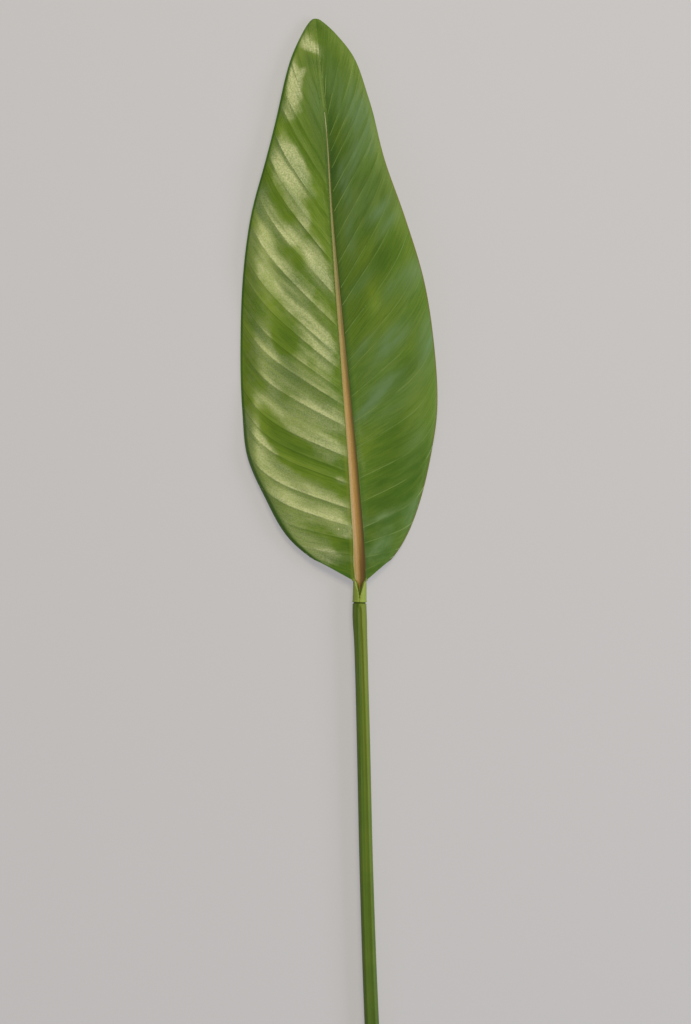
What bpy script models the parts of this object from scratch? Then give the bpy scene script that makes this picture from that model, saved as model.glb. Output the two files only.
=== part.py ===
"""Bird of paradise leaf, cut with its stalk and laid down with its upper side showing.

Metres, +Z up. The leaf lies along Y with its tip at +Y, and the origin is the middle of the space it takes,
on the surface it lies on. Heights and widths below are given at distances along the leaf from the foot of
the blade, tip positive, and are worked out in millimetres.
"""

import math

import bmesh
import bpy
import numpy as np
from mathutils import Vector

MM = 0.001

# Main sizes, in millimetres
BLADE_LENGTH = 401
STALK_LENGTH = 400
BLADE_THICKNESS = 0.8
FOOT_FROM_MIDDLE = 15
SEAM_GAP = 0.3

# The line of the midrib and the stalk seen from above, as (distance, sideways)
MIDLINE = ((-400, 13), (-312, 8.3), (-214, 4.8), (-99, 2.1), (-45, 0.6), (-20, -0.3), (0, -0.1), (68, -4),
           (157, -11.6), (258, -20), (328, -24.6), (371, -29.8), (401, -31.7))

# Half widths of the blade, as (distance, left of the midrib, right of it)
OUTLINE = ((0, 5.6, 5.6), (4, 10, 9.6), (15, 32, 22.6), (29, 48.4, 33), (58, 63.8, 46.6), (90, 75, 56.4),
           (120, 75.6, 63.2), (170, 72.6, 65), (214, 67.2, 61.6), (257, 58.4, 52), (300, 44.6, 39.6),
           (342, 30.6, 32.8), (371, 19.8, 26.4), (390, 10.3, 13.8), (398, 5, 5.8), (401, 1.2, 1.2))

# Side veins: where each leaves the midrib, and how far the blade sinks after it, from 0 to 1
VEINS = ((0, 0.2), (6, 0.2), (12, 0.3), (18.5, 0.8), (28.5, 0.8), (39, 1), (51, 1), (69, 0.9), (77, 0.8),
         (88, 1), (110, 0.7), (125, 0.8), (135, 1), (149.5, 0.6), (160, 1), (182, 0.9), (204, 1),
         (228, 0.7), (238, 0.9), (258, 1), (281, 0.7), (293, 0.7), (316, 0.5), (329, 0.5), (342, 0.4),
         (355, 0.4), (367, 0.3), (379, 0.2), (390, 0.1), (401, 0))
SAG_DEPTH = 0.85
ROWS_PER_VEIN = 2

# How far up the leaf a vein ends on the edge from where it starts, as (start, lead)
VEIN_LEAD = ((0, 15), (6, 11.5), (12, 8.5), (18, 6.5), (28, 17), (40, 33), (70, 46), (110, 56), (160, 72),
             (205, 73), (260, 62), (300, 57), (330, 46), (355, 28), (380, 9.5), (401, -6))

# How evenly a vein leads on its way out, from 0 (all of it near the edge) to 1 (a straight vein)
VEIN_STRAIGHTNESS = ((0, 1.05), (15, 0.85), (40, 0.66), (150, 0.8), (260, 0.86), (385, 0.86), (401, 0.85))
VEIN_HOOK_POWER = 6

# Places of the blade's columns between the midrib's channel and the edge, from 0 to 1
BLADE_COLUMNS = (0.04, 0.11, 0.2, 0.3, 0.4, 0.5, 0.6, 0.7, 0.79, 0.87, 0.94, 1)
CHANNEL_COLUMNS = (0.55, 1)

# Heights of the upper face, as (distance, height)
MIDRIB_HEIGHT = ((0, 9.8), (50, 8.9), (100, 8.4), (160, 8.2), (220, 8), (300, 6.6), (360, 4.8), (401, 3.2))
LEFT_EDGE_HEIGHT = ((0, 8.6), (30, 8.2), (80, 6.5), (150, 3.2), (215, 6), (300, 9), (360, 6.5), (401, 3.2))
RIGHT_EDGE_HEIGHT = ((0, 7.5), (30, 3), (62, 1), (110, 9), (170, 18), (230, 22), (300, 19), (360, 10),
                     (401, 3.2))
LEFT_BOW = 1.6
RIGHT_BOW = 3
LEFT_CURL = ((0, 1.5), (80, 3), (150, 3.6), (230, 3), (320, 1.6), (370, 0.4), (388, 0), (401, 0))
RIGHT_CURL = ((0, 0.6), (62, 1.4), (200, 1.2), (320, 0.7), (388, 0), (401, 0))
CURL_START = 0.86

# The channel along the midrib's upper side
CHANNEL_HALF_WIDTH = ((0, 4.1), (28, 4.1), (68, 3.7), (107, 3.3), (157, 2.8), (209, 2.4), (258, 2.1),
                      (401, 1.8))
CHANNEL_DEPTH = ((0, 4), (28, 3.6), (68, 3), (157, 2.2), (258, 1.4), (328, 0.8), (360, 0.3), (401, 0.1))

# The green keel under the channel, as thickness at the middle and as shares of it out to the channel's edge
KEEL_THICKNESS = ((0, 4.9), (68, 4.5), (157, 4), (258, 3.2), (328, 1.9), (375, 1), (401, 0.8))
KEEL_SHARES = (1, 0.75, 0.3)

# The tan midrib that lines the channel
MIDRIB_START = -5
MIDRIB_END = 332
MIDRIB_HALF_WIDTH = ((-5, 0.3), (-3.5, 0.7), (-2, 1.1), (-0.6, 1.8), (0.6, 2.6), (6, 3.6), (28, 3.7),
                     (68, 3.2), (107, 2.7), (157, 2.1), (209, 1.6), (258, 1.2), (310, 0.85), (332, 0.5))
MIDRIB_THICKNESS = 1.2
MIDRIB_EDGE = 0.6

# The stalk, as (distance, radius)
STALK_RADIUS = ((-400, 5.5), (-300, 5.15), (-200, 4.85), (-110, 4.75), (-60, 4.7), (-38, 4.85), (-27, 5.15),
                (-17, 4.95), (-12, 4.95), (-0.5, 4.75))
STALK_HEIGHT = ((-400, 5.25), (-330, 5.05), (-240, 5.35), (-120, 5.75), (-40, 5.95), (-0.5, 5.6))
STALK_STATIONS = (-400, -399.2, -370, -330, -290, -250, -210, -170, -130, -95, -65, -48, -38, -30, -24,
                  -19.5, -17, -16.3, -16, -15.6, -15.3, -14.7, -13, -11.4, -9, -7, -5, -3, -1.6, -0.5)
STALK_OPENING_HALF_WIDTH = ((-400, 2.8), (-150, 2.3), (-60, 1.7), (-30, 1.4), (-19, 1), (-17, 0.35),
                            (-11.4, 0.35), (-9, 0.85), (-6, 1.8), (-3, 2.8), (-0.5, 3.6))
STALK_OPENING_DEPTH = ((-400, 0.55), (-150, 0.7), (-60, 0.8), (-30, 0.9), (-19, 0.7), (-17, 0.2),
                       (-13, 0.2), (-11.4, 1), (-9, 2.6), (-6.5, 4.2), (-4.5, 4.3), (-3, 3.9), (-0.5, 2.9))
STALK_OPENING_COLUMNS = 6
STALK_SIDES = 19
JOINT_RING = -15.7
JOINT_RING_HALF_WIDTH = 0.55
JOINT_RING_DEPTH = 0.85
COLLAR_LIP = 0.25
CUT_ROUNDING = 0.35

LEAF_GREEN = (0.115, 0.19, 0.035)
MIDRIB_TAN = (0.42, 0.25, 0.085)
STALK_GREEN = (0.16, 0.23, 0.055)


def through(points, at):
    """The value at one position on the smooth curve through (position, value) pairs."""
    places, values = np.array(points, float).T
    slopes = np.gradient(values, places)
    at = min(max(at, places[0]), places[-1])
    i = min(int(np.searchsorted(places, at, side="right")) - 1, len(places) - 2)
    step = places[i + 1] - places[i]
    s = (at - places[i]) / step
    return float(
        values[i] * (1 + 2 * s) * (1 - s) ** 2
        + values[i + 1] * s * s * (3 - 2 * s)
        + step * (slopes[i] * s * (1 - s) ** 2 - slopes[i + 1] * s * s * (1 - s))
    )


def round_place(distance):
    """The angle that spreads out the two rounded ends of the blade's outline, from 0 to pi."""
    return math.acos(1 - 2 * min(max(distance / BLADE_LENGTH, 0), 1))


def half_width(distance, side):
    """From the midrib to the blade's edge, at one distance along the blade. side is -1 left and 1 right."""
    column = 1 if side < 0 else 2
    return through([(round_place(row[0]), row[column]) for row in OUTLINE], round_place(distance))


def channel_dip(distance, offset):
    """How far the upper face dips into the channel along the midrib."""
    share = min(offset / through(CHANNEL_HALF_WIDTH, distance), 1)
    return through(CHANNEL_DEPTH, distance) * (1 - share**2)


def blade_height(distance, side, share):
    """The blade's upper face without its pleats, share of the way from the midrib (0) to the edge (1)."""
    edge = through(LEFT_EDGE_HEIGHT if side < 0 else RIGHT_EDGE_HEIGHT, distance)
    curl = through(LEFT_CURL if side < 0 else RIGHT_CURL, distance)
    bow = (LEFT_BOW if side < 0 else RIGHT_BOW) * half_width(distance, side) / half_width(170, side)
    middle = through(MIDRIB_HEIGHT, distance)
    past_curl = max(share - CURL_START, 0) / (1 - CURL_START)
    height = middle + (edge - middle) * share + 4 * bow * share * (1 - share) - curl * past_curl**2
    return max(height, BLADE_THICKNESS)


def sag(phase, share):
    """How far the blade sinks between two side veins. phase counts veins, and share runs midrib to edge."""
    between = phase % 1
    depth = SAG_DEPTH * VEINS[int(phase)][1]
    fade = min(share / 0.1, 1) * (1 - 0.8 * share**4)
    return depth * fade * 4 * between * (1 - between)


def blade_rows():
    """(where the row leaves the midrib, its phase in the veins), from the foot of the blade to the tip."""
    count = (len(VEINS) - 1) * ROWS_PER_VEIN
    starts = [vein[0] for vein in VEINS]
    phases = [row / ROWS_PER_VEIN for row in range(count + 1)]
    return [(float(np.interp(phase, range(len(VEINS)), starts)), phase) for phase in phases]


def blade_point(row, column):
    """A point of the upper face, on one row along the side veins. column is negative left of the midrib."""
    start, phase = row
    side = -1 if column < 0 else 1
    step = abs(column)
    channel = through(CHANNEL_HALF_WIDTH, start)
    if step <= len(CHANNEL_COLUMNS):
        across = (0, *CHANNEL_COLUMNS)[step]
        offset = min(across * channel, half_width(start, side) * across)
        distance = start
        share = 0
    else:
        share = BLADE_COLUMNS[step - len(CHANNEL_COLUMNS) - 1]
        lead = through(VEIN_LEAD, start)
        even = through(VEIN_STRAIGHTNESS, start)
        hook = even * share + (1 - even) * share**VEIN_HOOK_POWER
        distance = start + lead * hook
        reach = half_width(start + lead, side)
        offset = min(channel, reach) + max(reach - channel, 0) * share
    height = blade_height(distance, side, share) - channel_dip(distance, offset)
    if share:
        height = max(height - sag(min(phase, len(VEINS) - 1.001), share), BLADE_THICKNESS)
    return Vector((through(MIDLINE, distance) + side * offset, distance, height)) * MM


def material(name, colour, roughness):
    """A Principled material in one plain colour."""
    made = bpy.data.materials.new(name)
    made.use_nodes = True
    shader = made.node_tree.nodes["Principled BSDF"]
    shader.inputs["Base Color"].default_value = (*colour, 1)
    shader.inputs["Roughness"].default_value = roughness
    shader.inputs["Metallic"].default_value = 0
    return made


def add_object(name, bm, collection, parent, finish):
    """A mesh object from bm, in the leaf's collection and carried by its empty."""
    mesh = bpy.data.meshes.new(name)
    bm.to_mesh(mesh)
    bm.free()
    mesh.materials.append(finish)
    made = bpy.data.objects.new(name, mesh)
    made.parent = parent
    collection.objects.link(made)
    return made


def loft(sections):
    """A closed solid skinned over sections with the same number of points, capped at both ends."""
    bm = bmesh.new()
    rings = [[bm.verts.new(point) for point in section] for section in sections]
    for near, far in zip(rings, rings[1:]):
        for k in range(len(near)):
            after = (k + 1) % len(near)
            bm.faces.new((near[k], near[after], far[after], far[k]))
    bm.faces.new(reversed(rings[0]))
    bm.faces.new(rings[-1])
    bmesh.ops.recalc_face_normals(bm, faces=bm.faces)
    return bm


def keel_share(row, column):
    """How thick the leaf is under one point, as a share of the thickest part of the keel."""
    step = abs(column)
    thickness = BLADE_THICKNESS
    if step < len(KEEL_SHARES):
        thickness = max(through(KEEL_THICKNESS, row[0]) * KEEL_SHARES[step], BLADE_THICKNESS)
    return (thickness - BLADE_THICKNESS) / (KEEL_THICKNESS[0][1] - BLADE_THICKNESS)


def make_blade(collection, parent, finish):
    """The thin green blade, pleated along its side veins, with the thicker keel along its middle."""
    rows = blade_rows()
    columns = len(CHANNEL_COLUMNS) + len(BLADE_COLUMNS)
    bm = bmesh.new()
    thicker = bm.verts.layers.deform.new()
    bmesh.ops.create_grid(bm, x_segments=2 * columns, y_segments=len(rows) - 1, size=1)
    for vertex in bm.verts:
        column = round(vertex.co.x * columns)
        row = rows[round((vertex.co.y + 1) / 2 * (len(rows) - 1))]
        vertex.co = blade_point(row, column)
        vertex[thicker][0] = keel_share(row, column)
    blade = add_object("blade", bm, collection, parent, finish)
    blade.vertex_groups.new(name="keel")
    split = blade.modifiers.new("Triangles", "TRIANGULATE")
    split.quad_method = "SHORTEST_DIAGONAL"
    wall = blade.modifiers.new("Thickness", "SOLIDIFY")
    wall.thickness = KEEL_THICKNESS[0][1] * MM
    wall.offset = -1
    wall.vertex_group = "keel"
    wall.thickness_vertex_group = BLADE_THICKNESS / KEEL_THICKNESS[0][1]
    return blade


def midrib_section(distance):
    """The midrib across the leaf: a shallow trough with thin edges, lying in the channel."""
    half = through(MIDRIB_HALF_WIDTH, distance)
    middle = through(MIDLINE, distance)
    rim = through(MIDRIB_HEIGHT, distance)
    spread = (-1, -0.6, 0, 0.6, 1)
    edge = through(CHANNEL_HALF_WIDTH, distance)
    folds = [across * edge for across in (0, *CHANNEL_COLUMNS)]
    depths = [channel_dip(max(distance, 0), fold) for fold in folds]
    floor = [rim - float(np.interp(abs(s) * half, folds, depths)) + SEAM_GAP for s in spread]
    crown = (MIDRIB_THICKNESS - MIDRIB_EDGE) * min(half / 2, 1)
    thickness = [MIDRIB_EDGE + crown * (1 - s * s) for s in spread]
    under = [(s * half, z) for s, z in zip(spread, floor)]
    over = [(s * half, z + t) for s, z, t in zip(spread, floor, thickness)]
    return [Vector((middle + x, distance, z)) * MM for x, z in under + over[::-1]]


def make_midrib(collection, parent, finish):
    """The tan midrib, from the notch in the stalk's collar to where it fades out below the tip."""
    starts = [row[0] for row in blade_rows() if 2 < row[0] < MIDRIB_END]
    stations = (MIDRIB_START, -3.5, -2, -0.6, 0.6, 2, *starts, MIDRIB_END)
    return add_object("midrib", loft([midrib_section(d) for d in stations]), collection, parent, finish)


def stalk_radius(distance):
    """The stalk's radius with the pinched ring at its joint, the collar's lip and the edge of the cut."""
    radius = through(STALK_RADIUS, distance)
    from_ring = abs(distance - JOINT_RING)
    if from_ring < JOINT_RING_HALF_WIDTH:
        radius -= JOINT_RING_DEPTH * (1 - (from_ring / JOINT_RING_HALF_WIDTH) ** 2)
    elif 0 < distance - JOINT_RING < 2 * JOINT_RING_HALF_WIDTH:
        radius += COLLAR_LIP
    if distance < -STALK_LENGTH + CUT_ROUNDING:
        radius -= CUT_ROUNDING
    return radius


def stalk_section(distance):
    """The stalk across: round, with an open groove along the top, and flat where it meets the surface."""
    radius = stalk_radius(distance)
    middle = through(MIDLINE, distance)
    centre = through(STALK_HEIGHT, distance)
    opening = through(STALK_OPENING_HALF_WIDTH, distance)
    depth = through(STALK_OPENING_DEPTH, distance)
    lips = math.sqrt(radius**2 - opening**2)
    edge_turn = math.asin(opening / radius)
    outline = []
    for k in range(STALK_OPENING_COLUMNS):
        s = 1 - 2 * k / STALK_OPENING_COLUMNS
        outline.append((s * opening, lips - depth * (1 - s * s)))
    for k in range(STALK_SIDES):
        turn = edge_turn + (2 * math.pi - 2 * edge_turn) * k / STALK_SIDES
        outline.append((-radius * math.sin(turn), radius * math.cos(turn)))
    return [Vector((middle + x, distance, max(centre + z, 0))) * MM for x, z in outline]


def make_stalk(collection, parent, finish):
    """The leaf stalk, from its clean cut to the notched collar under the blade."""
    return add_object("petiole", loft([stalk_section(d) for d in STALK_STATIONS]), collection, parent, finish)


def main():
    for old in list(bpy.data.objects):
        bpy.data.objects.remove(old)
    leaf = bpy.data.collections.new("bird_of_paradise_leaf")
    bpy.context.scene.collection.children.link(leaf)
    foot = bpy.data.objects.new("foot_of_blade", None)
    foot.location = (FOOT_FROM_MIDDLE * MM, 0, 0)
    leaf.objects.link(foot)
    make_blade(leaf, foot, material("blade_green", LEAF_GREEN, 0.4))
    make_midrib(leaf, foot, material("midrib_tan", MIDRIB_TAN, 0.45))
    make_stalk(leaf, foot, material("stalk_green", STALK_GREEN, 0.45))


main()
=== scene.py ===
import math

import bpy
import numpy as np
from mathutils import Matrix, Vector, noise


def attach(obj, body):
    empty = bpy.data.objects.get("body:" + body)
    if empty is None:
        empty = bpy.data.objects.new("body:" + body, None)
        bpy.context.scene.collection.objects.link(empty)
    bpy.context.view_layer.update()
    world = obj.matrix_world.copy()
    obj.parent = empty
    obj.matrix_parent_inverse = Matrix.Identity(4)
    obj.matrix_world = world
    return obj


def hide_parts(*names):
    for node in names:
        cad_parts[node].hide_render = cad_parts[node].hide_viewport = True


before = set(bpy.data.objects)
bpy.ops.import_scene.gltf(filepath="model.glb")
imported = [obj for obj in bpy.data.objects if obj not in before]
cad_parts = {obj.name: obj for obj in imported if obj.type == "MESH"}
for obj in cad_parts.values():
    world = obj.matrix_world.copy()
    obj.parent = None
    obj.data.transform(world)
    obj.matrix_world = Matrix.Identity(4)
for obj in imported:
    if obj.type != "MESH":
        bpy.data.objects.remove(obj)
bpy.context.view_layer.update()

# The blade
# The flat green part of the leaf: one leathery sheet, folded along the middle and sunk between its side
# veins, with its edges bent down. It grew as one piece, with a rounded keel below its midrib.

# Lengths are in millimetres. The blade's foot lies beside the middle of the leaf's box. A table's pairs go
# from the foot, at 0, to the tip, as (distance, value).
MM = 0.001
FOOT = Vector((15, 0, 0))
BLADE_LENGTH = 401
BLADE_THICKNESS = 0.8
MIDLINE = ((-400, 13), (-312, 8.3), (-214, 4.8), (-99, 2.1), (-45, 0.6), (-20, -0.3), (0, -0.1), (68, -4),
           (157, -11.6), (258, -20), (328, -24.6), (371, -29.8), (401, -31.7))
LEFT_WIDTH = ((0, 5.6), (4, 10), (15, 32.2), (29, 48.4), (58, 63.8), (90, 75), (120, 75.6), (170, 72.6),
              (214, 67.2), (257, 58.4), (300, 44.6), (342, 30.6), (371, 19.8), (390, 10.3), (398, 5),
              (401, 0.5))
RIGHT_WIDTH = ((0, 5.6), (4, 9.6), (15, 22.6), (29, 33), (58, 46.6), (90, 56.4), (120, 63.2), (170, 65),
               (214, 61.6), (257, 52), (300, 39.6), (342, 32.8), (371, 26.4), (390, 13.8), (398, 5.8),
               (401, 0.5))

# Where each side vein leaves the midrib, and how deep the blade sinks above it, from 0 to 1
LEFT_VEINS = ((0, 0.2), (6, 0.2), (12, 0.3), (18.5, 0.6), (28.5, 0.7), (38.5, 0.8), (51, 0.9), (69, 0.9),
              (77, 0.7), (88, 1), (110, 0.8), (125, 0.6), (135, 0.9), (149.5, 0.5), (159.5, 1), (181, 0.8),
              (203.5, 1), (227, 0.6), (238, 0.9), (258, 0.9), (281, 0.8), (292.5, 0.6), (316, 0.4),
              (329, 0.4), (342, 0.35), (355, 0.3), (367, 0.3), (379, 0.2), (390, 0.1), (401, 0))
RIGHT_VEINS = ((0, 0.2), (8, 0.2), (17, 0.5), (27, 0.5), (38, 0.7), (56, 0.7), (73, 0.8), (95, 0.9),
               (113, 0.8), (131, 0.8), (149, 0.6), (156, 0.7), (176, 0.7), (196, 0.9), (208.5, 0.8),
               (226, 0.6), (244, 0.9), (263, 0.8), (277, 0.6), (294, 0.7), (306, 0.5), (317, 0.5),
               (332, 0.4), (345, 0.35), (358, 0.3), (370, 0.25), (382, 0.15), (392, 0.1), (401, 0))

# How deep the pleats of each half are, deeper where they are wide, and how much of that is lost at the edge
LEFT_SAG = 0.62
RIGHT_SAG = 0.42
WIDE_PLEAT = 14
WIDEST_SAG = 1.25
LEFT_PLEATS_LOST = 0.75
RIGHT_PLEATS_LOST = 0.92
PLEATS_FULL_FROM = 0.08
TIP_FADE = (312, 368)

# The finer folds between two veins: how far apart, how deep, and the least share of that in a shallow pleat
FOLD_SPACING = 6.5
FOLD_DEPTH = 0.16
FOLD_LEAST = 0.4

# Small uneven dents, as (length along the veins, length across, height, seed), and their part on each half
DENTS = ((30, 14, 0.5, 3), (12, 6, 0.26, 11), (60, 36, 0.6, 23))
LEFT_PUCKER = 1
RIGHT_PUCKER = 0.5

# Broad swellings and hollows of the blade, as (sideways, along, turned by, long reach, short reach, height)
SWELLS = ((-56, 280, 125, 22, 13, 2.3), (-51, 342, 110, 18, 9, 1.6), (-38, 222, 130, 16, 9, 1.4),
          (-53, 240, 90, 7, 6, 0.7), (-42, 156, 130, 26, 16, 2.6), (-71, 150, 95, 18, 7, 1.1),
          (-76, 84, 120, 14, 9, 1.4), (-62, 32, 130, 24, 11, 2), (-56, 54, 150, 14, 9, 1.1),
          (-18, 37, 150, 12, 7, 0.8), (-56, 166, 90, 9, 8, -0.8), (-42, 376, 60, 9, 7, 0.9),
          (-40, 110, 150, 26, 12, 1.2), (5, 193, 80, 8, 6, 0.8), (28, 250, 60, 20, 14, 0.2),
          (40, 120, 50, 26, 16, 0.5), (-72, 222, 97, 46, 9, 1.7), (-79, 112, 92, 30, 7, 1.5))
SWELLS_FULL_FROM = 0.1
SWELLS_FADE_AT_EDGE = 0.05
SWELLS_KEPT_AT_EDGE = 0.35

# Where the wax on the blade is thick and shines, laid down in the same way, with its shine for a height
WAX = ((-47, 357, 102, 22, 8, 1.1), (-52, 335, 120, 12, 6, 0.6), (-49, 294, 125, 22, 12, 1.2),
       (-46, 268, 122, 12, 5, 0.7), (-70, 272, 115, 16, 6, 0.7), (-62, 258, 125, 14, 6, 0.6),
       (-49, 246, 90, 7, 6, 0.9), (-40, 256, 90, 6, 5, 0.7), (-33, 232, 120, 14, 7, 1),
       (-26, 214, 130, 12, 6, 0.8), (-66, 232, 110, 32, 12, 0.62), (-46, 212, 130, 20, 8, 0.5),
       (-34, 379, 137, 11, 5, 0.8), (-37, 384, 70, 8, 7, 0.35), (-39, 365, 70, 6, 3, 0.7),
       (-30, 176, 112, 24, 13, 0.65), (-66, 158, 100, 20, 6, 0.85), (-50, 200, 130, 12, 5, 0.5),
       (-40, 142, 148, 28, 10, 0.65), (-24, 160, 110, 12, 6, 0.5), (-76, 100, 108, 21, 8, 1.2),
       (-28, 100, 155, 26, 6, 0.9), (-24, 117, 152, 22, 8, 0.9), (-58, 84, 135, 24, 5, 0.7),
       (-30, 62, 155, 24, 7, 0.9), (-56, 62, 140, 24, 10, 0.95), (-58, 42, 125, 26, 11, 0.85),
       (-24, 46, 155, 24, 8, 0.75), (-34, 26, 160, 26, 8, 0.62), (-27, 16, 160, 8, 5, 0.7),
       (-13, 35, 160, 8, 4, 0.7), (-28, 338, 108, 38, 9, -1), (-24, 290, 112, 36, 9, -1),
       (-54, 171, 110, 9, 7, -0.7), (-34, 371, 137, 7, 4, -0.6), (-36, 80, 162, 30, 3.5, -0.5),
       (-54, 102, 150, 20, 5, -0.5), (-62, 126, 150, 18, 6, 0.5), (-46, 120, 150, 18, 5, 0.15),
       (-14, 72, 155, 8, 3, 0.7), (-22, 86, 152, 14, 5, 0.4), (-11, 24, 160, 7, 4, -0.6),
       (-77, 205, 93, 62, 9, 0.2), (-60, 160, 105, 50, 20, 0.25))
WAX_STRENGTH = 1.1

# Painted shade, yellowed places that also paint sheen along the left edge, and a painted bluish reflection,
# laid down in the same way
SHADE_OVALS = ((18, 60, 78, 60, 13, 1.1), (10, 24, 70, 30, 18, 0.9), (-30, 338, 108, 36, 9, 1),
        (12, 228, 50, 20, 7, 0.5), (-34, 371, 137, 8, 4, 0.7), (19, 268, 60, 18, 7, 0.9),
        (-75, 165, 90, 40, 6, 0.4), (-54, 171, 110, 9, 8, 0.4), (0, 280, 105, 70, 5, 0.45),
        (-16, 362, 105, 28, 11, 0.35), (-33, 395, 0, 14, 5, 0.7), (39, 72, 75, 30, 9, 0.8),
        (34, 150, 45, 26, 6, 0.6), (-22, 298, 114, 36, 8, 0.9), (20, 228, 50, 20, 8, 0.3),
        (12, 285, 60, 12, 7, 0.6), (-54, 102, 150, 20, 6, 0.6), (-52, 134, 150, 30, 5, 0.25),
        (-11, 24, 160, 7, 4, 0.7), (-30, 88, 160, 24, 4, 0.5), (-18, 16, 160, 12, 6, 0.7))
YELLOW_AND_SHEEN = ((10.5, 201, 105, 10, 4, 1.2), (-14, 322, 65, 9, 2.5, 0.9), (-22, 313, 60, 6, 2, 0.7),
          (14, 182, 55, 22, 9, 0.5), (-4, 270, 60, 14, 5, 0.6), (10, 240, 55, 20, 6, 0.5),
          (40, 112, 80, 26, 9, 0.6), (6, 98, 60, 20, 10, 0.4), (-60, 200, 120, 20, 10, 0.4),
          (20, 38, 60, 12, 8, 0.3), (40, 148, 60, 14, 8, 0.4), (11, 266, 55, 8, 2.5, 1),
          (-72, 230, 100, 40, 10, 1.4), (-76, 165, 92, 40, 10, 1.4), (-75, 112, 95, 28, 10, 1),
          (-50, 115, 150, 34, 12, 0.55), (-46, 60, 150, 46, 24, 0.75), (-52, 160, 130, 34, 16, 0.45),
          (-36, 380, 90, 10, 9, 0.45), (-46, 240, 130, 30, 14, 0.25))
SHEEN_OVALS = ((1, 334, 105, 20, 7, 1), (4, 317, 105, 15, 5, 0.9), (-6, 297, 60, 16, 5, 0.8),
         (-11, 282, 100, 18, 4, 0.7), (13, 262, 50, 12, 4, 0.9), (20, 253, 55, 13, 4, 0.9),
         (-7, 243, 95, 14, 4, 0.6), (41, 218, 70, 18, 6, 0.8), (27, 211, 50, 18, 6, 0.7),
         (0, 211, 50, 14, 4, 0.5), (25, 174, 50, 16, 6, 1), (2, 166, 50, 12, 3, 0.7),
         (17, 138, 40, 15, 5, 0.9), (4, 121, 45, 12, 4, 0.7), (49, 172, 80, 22, 7, 1),
         (17, 46, 25, 12, 2.5, 0.9), (17, 28, 70, 14, 6, 0.6), (9, 20, 40, 8, 4, 0.6),
         (39, 50, 60, 12, 6, 0.7), (22, 128, 40, 30, 12, 0.4), (-3, 320, 100, 24, 9, 0.6),
         (-18, 352, 105, 24, 8, 0.5), (-32, 344, 100, 20, 5, 0.35), (41, 104, 75, 22, 8, 0.4),
         (3, 272, 62, 28, 12, 0.4), (12, 157, 60, 26, 12, 0.35))

# How far up the leaf a vein ends on the edge from where it starts, and how evenly it leads there
VEIN_LEAD = ((0, 15), (6, 11.5), (12, 8.5), (18, 6.5), (28, 17), (40, 33), (70, 46), (110, 56), (160, 72),
             (205, 73), (260, 62), (300, 58), (330, 53), (345, 50), (360, 38), (375, 24.5), (390, 10.8),
             (401, 0))
VEIN_STRAIGHTNESS = ((0, 1.05), (15, 0.85), (40, 0.66), (150, 0.8), (260, 0.86), (385, 0.86), (401, 0.85))
VEIN_HOOK_POWER = 6

# Heights of the midrib and of both edges, how far the edges curl down, and how high each half bows between
MIDRIB_HEIGHT = ((0, 9.8), (50, 8.9), (100, 8.4), (160, 8.2), (220, 8), (300, 6.6), (360, 4.8), (401, 3.2))
LEFT_EDGE_HEIGHT = ((0, 8.6), (30, 8.2), (80, 6.5), (150, 3.2), (215, 6), (300, 9), (360, 6.5), (401, 3.2))
RIGHT_EDGE_HEIGHT = ((0, 7.5), (30, 3), (62, 1), (110, 9), (170, 18), (230, 22), (300, 19), (360, 10),
                     (401, 3.2))
LEFT_CURL = ((0, 1.5), (80, 3), (150, 3.6), (230, 3), (320, 1.6), (370, 0.4), (388, 0), (401, 0))
RIGHT_CURL = ((0, 0.6), (62, 1.4), (200, 1.2), (320, 0.7), (388, 0), (401, 0))
LEFT_BOW = 1.6
RIGHT_BOW = 3
BOW_HIGHEST_AT = 170
CURL_START = 0.86

# The fold along the middle is sharp over most of the blade, and opens into a soft hollow towards the tip
SHARP_FOLD = 0.0001
FOLD_EASING = 0.15
FOLD_OPENS = (300, 360)

CHANNEL_HALF_WIDTH = ((0, 4.1), (28, 4.1), (68, 3.7), (107, 3.3), (157, 2.8), (209, 2.4), (258, 2.1),
                      (360, 1.7), (401, 0.1))
CHANNEL_DEPTH = ((0, 4), (28, 3.6), (68, 3), (157, 2.2), (258, 1.4), (300, 0.9), (328, 0.25), (345, 0),
                 (401, 0))
KEEL_THICKNESS = ((0, 4.9), (68, 4.5), (157, 4), (258, 3.2), (328, 1.9), (375, 1), (401, 0.8))

# The mesh's rows follow the side veins, and its columns run along the leaf, closer at the midrib and the edge
ROW_SPACING = 2
CLOSEST_ROWS = 0.3
CREASE_HALF_WIDTH = 0.5
CHANNEL_COLUMNS = (0.2, 0.4, 0.6, 0.8, 1)
BLADE_COLUMNS = 54
COLUMN_CROWDING = 0.1
ROW_TOLERANCE = 0.02
KEEL_SHAPE = (1, 0.97, 0.9, 0.78, 0.55, 0.3, 0)
SHARP_ANGLE = 50


def through(points, at):
    """Values on the smooth curve through (position, value) pairs."""
    places, values = np.array(points, float).T
    slopes = np.gradient(values, places)
    at = np.clip(at, places[0], places[-1])
    i = np.clip(np.searchsorted(places, at, side="right") - 1, 0, len(places) - 2)
    step = places[i + 1] - places[i]
    s = (at - places[i]) / step
    return (
        values[i] * (1 + 2 * s) * (1 - s) ** 2
        + values[i + 1] * s * s * (3 - 2 * s)
        + step * (slopes[i] * s * (1 - s) ** 2 - slopes[i + 1] * s * s * (1 - s))
    )


def half_width(distance, side):
    """From the midrib to the edge. The outline is rounded at both ends, so it is followed by angle."""
    table = LEFT_WIDTH if side < 0 else RIGHT_WIDTH
    angles = [(math.acos(1 - 2 * place / BLADE_LENGTH), width) for place, width in table]
    return through(angles, np.arccos(1 - 2 * np.clip(distance / BLADE_LENGTH, 0, 1)))


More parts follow.
